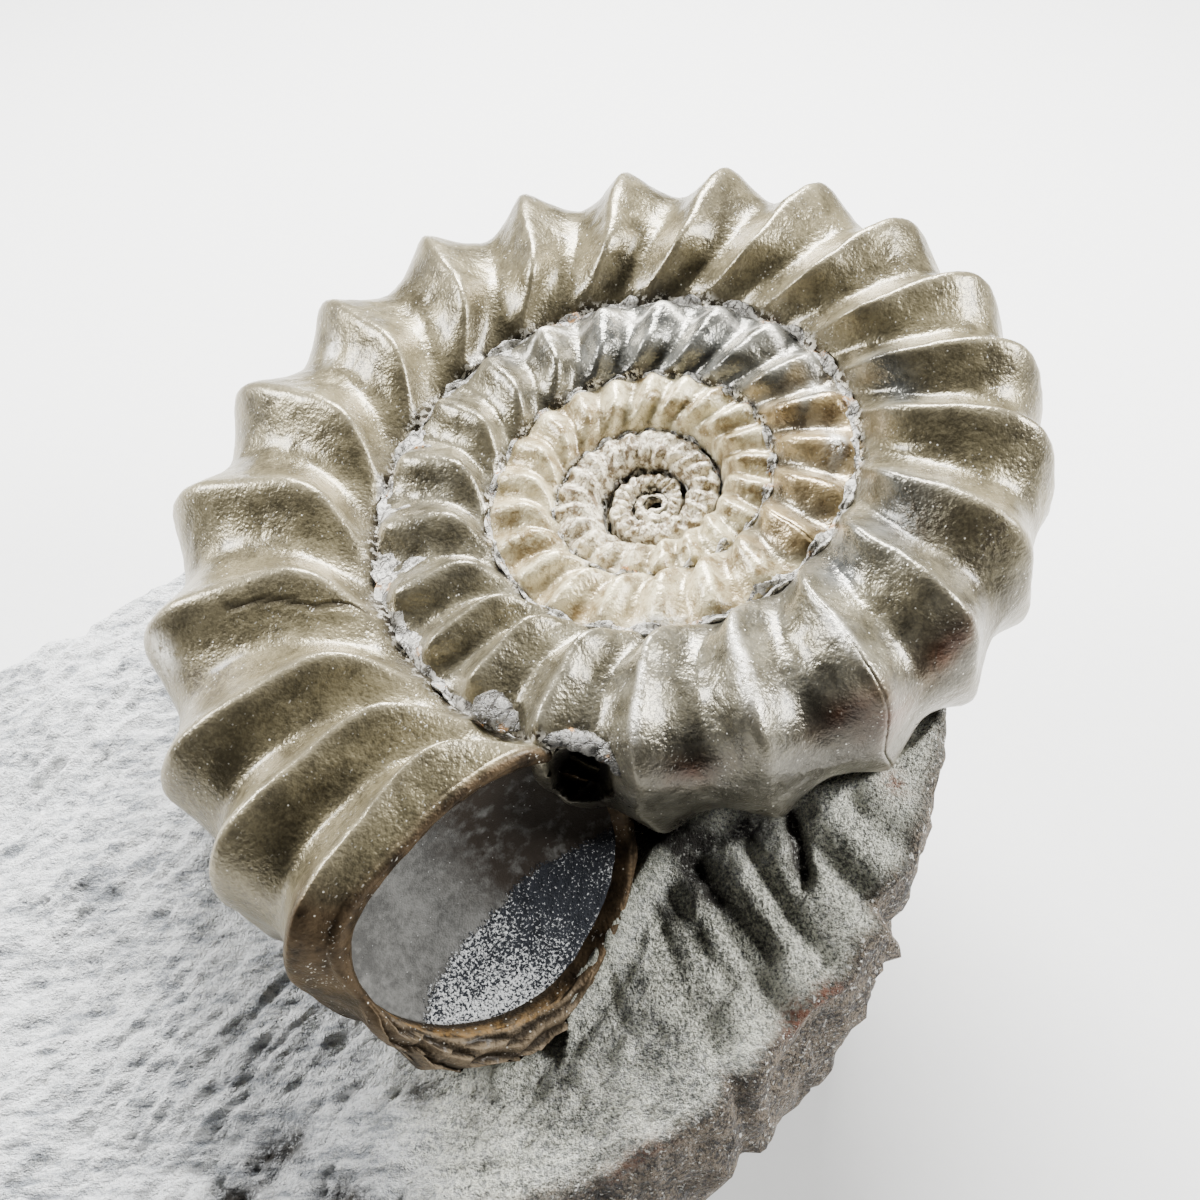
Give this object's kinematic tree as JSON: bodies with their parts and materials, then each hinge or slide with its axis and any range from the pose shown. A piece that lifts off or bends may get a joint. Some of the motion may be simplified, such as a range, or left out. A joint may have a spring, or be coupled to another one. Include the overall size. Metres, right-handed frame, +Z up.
{
  "type": "fossil ammonite on matrix",
  "caption": "Coiled, strongly ribbed fossil ammonite with a broken, dished mouth, resting on its loose piece of pale matrix rock.",
  "frame": {"origin": "middle of the footprint on the rock's flat base", "axes": "+Z up from the flat base; +X to the right and +Y away from the side where the mouth opens"},
  "size_m": [0.0402, 0.0318, 0.0221],
  "materials": {
    "shell": "satin",
    "fill": "matte",
    "crust": "rough",
    "matrix": "rough"
  },
  "bodies": {
    "root": {"ammonite": "shell", "mouth_fill": "fill", "seam_crust": "crust", "matrix_rock": "matrix"}
  },
  "joints": []
}
